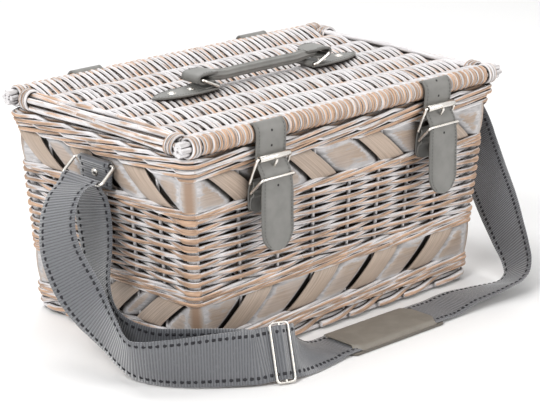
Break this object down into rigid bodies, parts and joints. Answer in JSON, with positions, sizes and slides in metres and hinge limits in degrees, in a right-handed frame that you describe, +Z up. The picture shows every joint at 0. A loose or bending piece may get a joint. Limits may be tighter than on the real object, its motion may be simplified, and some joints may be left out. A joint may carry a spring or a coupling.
{
  "type": "picnic basket",
  "caption": "Rectangular woven willow hamper with a hinged lid, buckled leather closing straps, a lid handle and a webbing shoulder strap with pad.",
  "frame": {"origin": "middle of the underside of the base", "axes": "+X along the length, +Y from the buckled front to the hinged rear, +Z up"},
  "size_m": [0.5918, 0.3376, 0.2463],
  "materials": {
    "willow": "whitewashed woven willow rods, worn to tan on their tops",
    "chip_wood": "whitewashed split chip wood",
    "cane": "split cane lashing",
    "grey_leather": "grey-green strap leather, stitched",
    "pad_leather": "taupe leather, stitched",
    "webbing": "ribbed grey cotton webbing with dark edge stitching",
    "nickel": "nickel-plated steel wire"
  },
  "bodies": {
    "basket": {"base_panel": "willow", "front_wall": "willow", "rear_wall": "willow", "left_wall": "willow", "right_wall": "willow", "corner_post_front_left": "willow", "corner_post_front_right": "willow", "corner_post_rear_left": "willow", "corner_post_rear_right": "willow", "foot_wale": "willow", "lower_chip_band": "chip_wood", "lower_wale": "willow", "upper_wale": "willow", "upper_chip_band": "chip_wood", "top_border": "willow", "hinge_strap_left": "grey_leather", "hinge_strap_right": "grey_leather", "buckle_chape_left": "grey_leather", "buckle_chape_right": "grey_leather", "chape_rivet_left": "nickel", "chape_rivet_right": "nickel", "side_tab_left": "webbing", "side_tab_right": "webbing", "side_rivet_left": "nickel", "side_rivet_right": "nickel", "shoulder_strap": "webbing"},
    "lid": {"lid_panel": "willow", "lid_front_roll": "willow", "lid_rear_roll": "willow", "lid_left_end_rods": "willow", "lid_right_end_rods": "willow", "lid_lashing_front_left": "cane", "lid_lashing_front_right": "cane", "lid_lashing_rear_left": "cane", "lid_lashing_rear_right": "cane", "handle_tab_left": "grey_leather", "handle_tab_right": "grey_leather", "handle_rivet_left_inner": "nickel", "handle_rivet_left_outer": "nickel", "handle_rivet_right_inner": "nickel", "handle_rivet_right_outer": "nickel"},
    "handle": {"handle_grip": "grey_leather"},
    "slider": {"strap_slider": "nickel"},
    "pad": {"shoulder_pad": "pad_leather"},
    "closing_strap_left": {"front_strap_left": "grey_leather"},
    "buckle_left": {"buckle_frame_left": "nickel"},
    "roller_left": {"buckle_roller_left": "nickel"},
    "tongue_left": {"buckle_tongue_left": "nickel"},
    "keeper_left": {"keeper_loop_left": "nickel"},
    "closing_strap_right": {"front_strap_right": "grey_leather"},
    "buckle_right": {"buckle_frame_right": "nickel"},
    "roller_right": {"buckle_roller_right": "nickel"},
    "tongue_right": {"buckle_tongue_right": "nickel"},
    "keeper_right": {"keeper_loop_right": "nickel"},
    "handle_ring_left": {"handle_ring_left": "nickel"},
    "handle_ring_right": {"handle_ring_right": "nickel"},
    "side_ring_left": {"side_ring_left": "nickel"},
    "side_ring_right": {"side_ring_right": "nickel"}
  },
  "joints": [
    {"name": "lid_hinge", "type": "hinge", "parent": "basket", "child": "lid", "pos_m": [0, 0.124, 0.2198], "axis": [-1, 0, 0], "range_deg": [0, 105], "deforming": ["front_strap_left", "front_strap_right"]},
    {"name": "closing_strap_swing_left", "type": "hinge", "parent": "lid", "child": "closing_strap_left", "pos_m": [-0.115, -0.124, 0.2198], "axis": [-1, 0, 0], "range_deg": [-90, 0], "deforming": ["front_strap_left"]},
    {"name": "buckle_swing_left", "type": "hinge", "parent": "basket", "child": "buckle_left", "pos_m": [-0.115, -0.13034, 0.173], "axis": [1, 0, 0], "range_deg": [0, 80], "deforming": ["front_strap_left"]},
    {"name": "roller_spin_left", "type": "hinge", "parent": "buckle_left", "child": "roller_left", "pos_m": [-0.115, -0.14025, 0.198], "axis": [1, 0, 0], "continuous": true},
    {"name": "tongue_lift_left", "type": "hinge", "parent": "buckle_left", "child": "tongue_left", "pos_m": [-0.115, -0.13034, 0.173], "axis": [1, 0, 0], "range_deg": [0, 20], "deforming": ["front_strap_left"]},
    {"name": "keeper_swing_left", "type": "hinge", "parent": "basket", "child": "keeper_left", "pos_m": [-0.115, -0.13034, 0.163], "axis": [1, 0, 0], "range_deg": [0, 80], "deforming": ["front_strap_left"]},
    {"name": "closing_strap_swing_right", "type": "hinge", "parent": "lid", "child": "closing_strap_right", "pos_m": [0.115, -0.124, 0.2198], "axis": [-1, 0, 0], "range_deg": [-90, 0], "deforming": ["front_strap_right"]},
    {"name": "buckle_swing_right", "type": "hinge", "parent": "basket", "child": "buckle_right", "pos_m": [0.115, -0.13053, 0.1795], "axis": [1, 0, 0], "range_deg": [0, 80], "deforming": ["front_strap_right"]},
    {"name": "roller_spin_right", "type": "hinge", "parent": "buckle_right", "child": "roller_right", "pos_m": [0.115, -0.14025, 0.2045], "axis": [1, 0, 0], "continuous": true},
    {"name": "tongue_lift_right", "type": "hinge", "parent": "buckle_right", "child": "tongue_right", "pos_m": [0.115, -0.13053, 0.1795], "axis": [1, 0, 0], "range_deg": [0, 20], "deforming": ["front_strap_right"]},
    {"name": "keeper_swing_right", "type": "hinge", "parent": "basket", "child": "keeper_right", "pos_m": [0.115, -0.13053, 0.1695], "axis": [1, 0, 0], "range_deg": [0, 80], "deforming": ["front_strap_right"]},
    {"name": "handle_lift", "type": "slide", "parent": "lid", "child": "handle", "axis": [0, 0, 1], "range_m": [0, 0.008]},
    {"name": "handle_ring_swing_left", "type": "hinge", "parent": "lid", "child": "handle_ring_left", "pos_m": [-0.066, 0, 0.2311], "axis": [0, 1, 0], "range_deg": [0, 25.81]},
    {"name": "handle_ring_swing_right", "type": "hinge", "parent": "lid", "child": "handle_ring_right", "pos_m": [0.066, 0, 0.2311], "axis": [0, -1, 0], "range_deg": [0, 25.81]},
    {"name": "side_ring_swing_left", "type": "hinge", "parent": "basket", "child": "side_ring_left", "pos_m": [-0.2113, 0, 0.182], "axis": [0, 1, 0], "range_deg": [-40, 50], "deforming": ["shoulder_strap"]},
    {"name": "side_ring_swing_right", "type": "hinge", "parent": "basket", "child": "side_ring_right", "pos_m": [0.2113, 0, 0.182], "axis": [0, -1, 0], "range_deg": [-40, 50], "deforming": ["shoulder_strap"]},
    {"name": "slider_travel", "type": "slide", "parent": "basket", "child": "slider", "axis": [0.93, -0.3675, 0], "range_m": [-0.035, 0.01], "deforming": ["shoulder_strap"]},
    {"name": "pad_travel", "type": "slide", "parent": "basket", "child": "pad", "axis": [1, 0, 0], "range_m": [-0.02, 0.02], "deforming": ["shoulder_strap"]}
  ],
  "couplings": [
    {"joint": "closing_strap_swing_left", "follows": "lid_hinge", "ratio": -0.85714},
    {"joint": "keeper_swing_left", "follows": "buckle_swing_left", "ratio": 1},
    {"joint": "closing_strap_swing_right", "follows": "lid_hinge", "ratio": -0.85714},
    {"joint": "keeper_swing_right", "follows": "buckle_swing_right", "ratio": 1},
    {"joint": "handle_ring_swing_left", "follows": "handle_lift", "rad_per_m": 56.252},
    {"joint": "handle_ring_swing_right", "follows": "handle_lift", "rad_per_m": 56.252}
  ]
}
